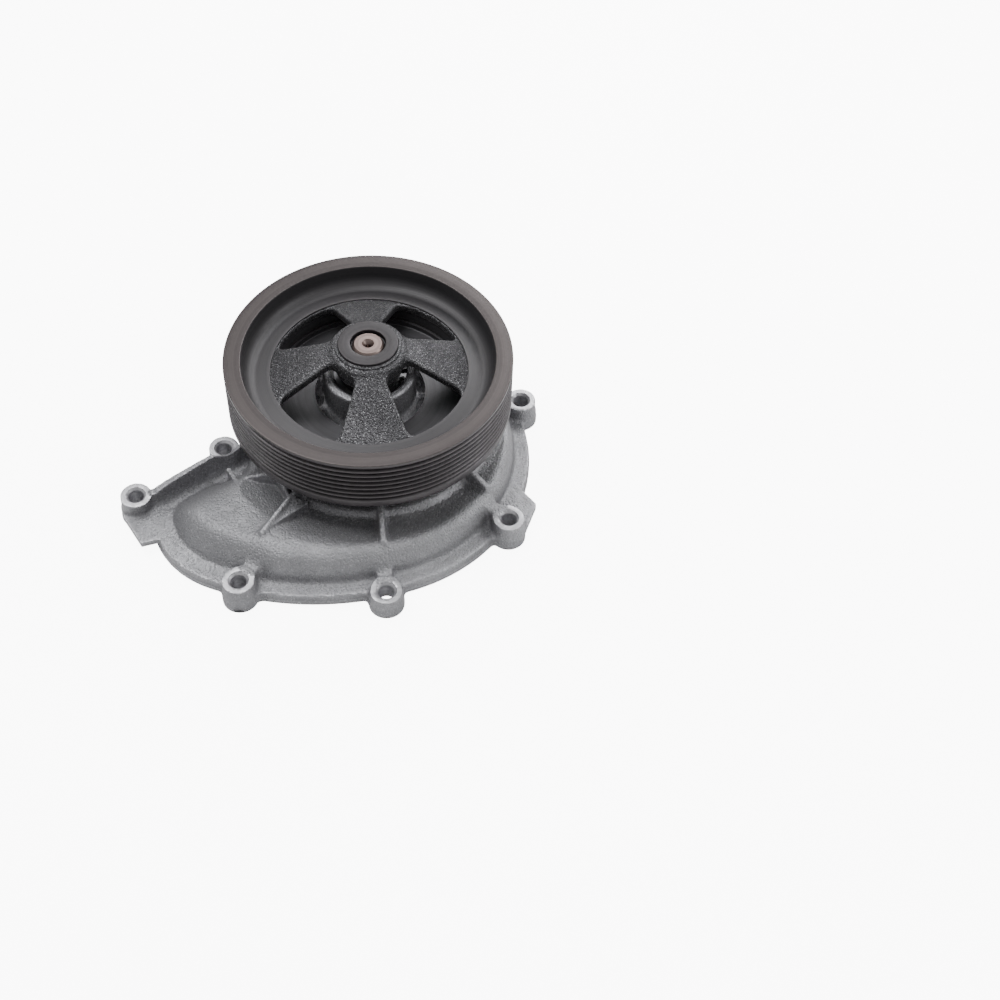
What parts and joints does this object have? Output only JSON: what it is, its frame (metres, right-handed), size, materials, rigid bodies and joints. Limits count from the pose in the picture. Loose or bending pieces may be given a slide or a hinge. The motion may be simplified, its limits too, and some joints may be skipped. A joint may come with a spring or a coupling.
{
  "type": "water pump",
  "caption": "Belt-driven engine coolant pump: aluminium volute cover with bolt bosses, grooved pulley with spoked hub, impeller, shaft bearing, water seal and flange gasket.",
  "frame": {"origin": "shaft axis, on the gasket's lower face, which meets the engine block", "axes": "+Z along the shaft towards the pulley, -X towards the volute outlet"},
  "size_m": [0.2396, 0.2142, 0.087],
  "materials": {
    "cover_aluminium": "sand-cast, machined at faces and bosses",
    "gasket_sheet": "matt fibre sheet",
    "bearing_steel": "ground",
    "ball_steel": "polished",
    "cage_plastic": "moulded",
    "roller_steel": "polished",
    "roller_cage_plastic": "moulded",
    "seal_rubber": "moulded",
    "outer_seal_rubber": "moulded",
    "circlip_steel": "phosphated spring steel",
    "seal_cup_brass": "drawn",
    "bellows_rubber": "moulded",
    "carbon": "lapped carbon graphite",
    "spring_steel": "drawn wire",
    "shaft_steel": "turned and ground",
    "pulley_iron": "cast, machined rim and hub",
    "shield_steel": "pressed sheet",
    "impeller_iron": "cast",
    "seat_ceramic": "lapped ceramic",
    "boot_rubber": "moulded",
    "slinger_steel": "pressed"
  },
  "bodies": {
    "pump_body": {"cover_casting": "cover_aluminium", "flange_gasket": "gasket_sheet", "bearing_outer_ring": "bearing_steel", "inner_bearing_seal": "seal_rubber", "outer_bearing_seal": "outer_seal_rubber", "bearing_circlip": "circlip_steel", "seal_cup": "seal_cup_brass", "seal_bellows": "bellows_rubber", "seal_carbon_ring": "carbon", "seal_spring": "spring_steel"},
    "rotor": {"belt_pulley": "pulley_iron", "pulley_dust_shield": "shield_steel", "pump_shaft": "shaft_steel", "impeller": "impeller_iron", "seal_seat_ring": "seat_ceramic", "seal_seat_boot": "boot_rubber", "shaft_slinger": "slinger_steel"},
    "ball_set": {"ball_cage": "cage_plastic", "bearing_balls": "ball_steel"},
    "roller_set": {"roller_cage": "roller_cage_plastic", "bearing_rollers": "roller_steel"}
  },
  "joints": [
    {"name": "rotor_spin", "type": "hinge", "parent": "pump_body", "child": "rotor", "pos_m": [0, 0, 0.0475], "axis": [0, 0, 1], "continuous": true},
    {"name": "ball_set_spin", "type": "hinge", "parent": "pump_body", "child": "ball_set", "pos_m": [0, 0, 0.0535], "axis": [0, 0, 1], "continuous": true},
    {"name": "roller_set_spin", "type": "hinge", "parent": "pump_body", "child": "roller_set", "pos_m": [0, 0, 0.0415], "axis": [0, 0, 1], "continuous": true}
  ],
  "couplings": [
    {"joint": "ball_set_spin", "follows": "rotor_spin", "ratio": 0.3571},
    {"joint": "roller_set_spin", "follows": "rotor_spin", "ratio": 0.3929}
  ]
}
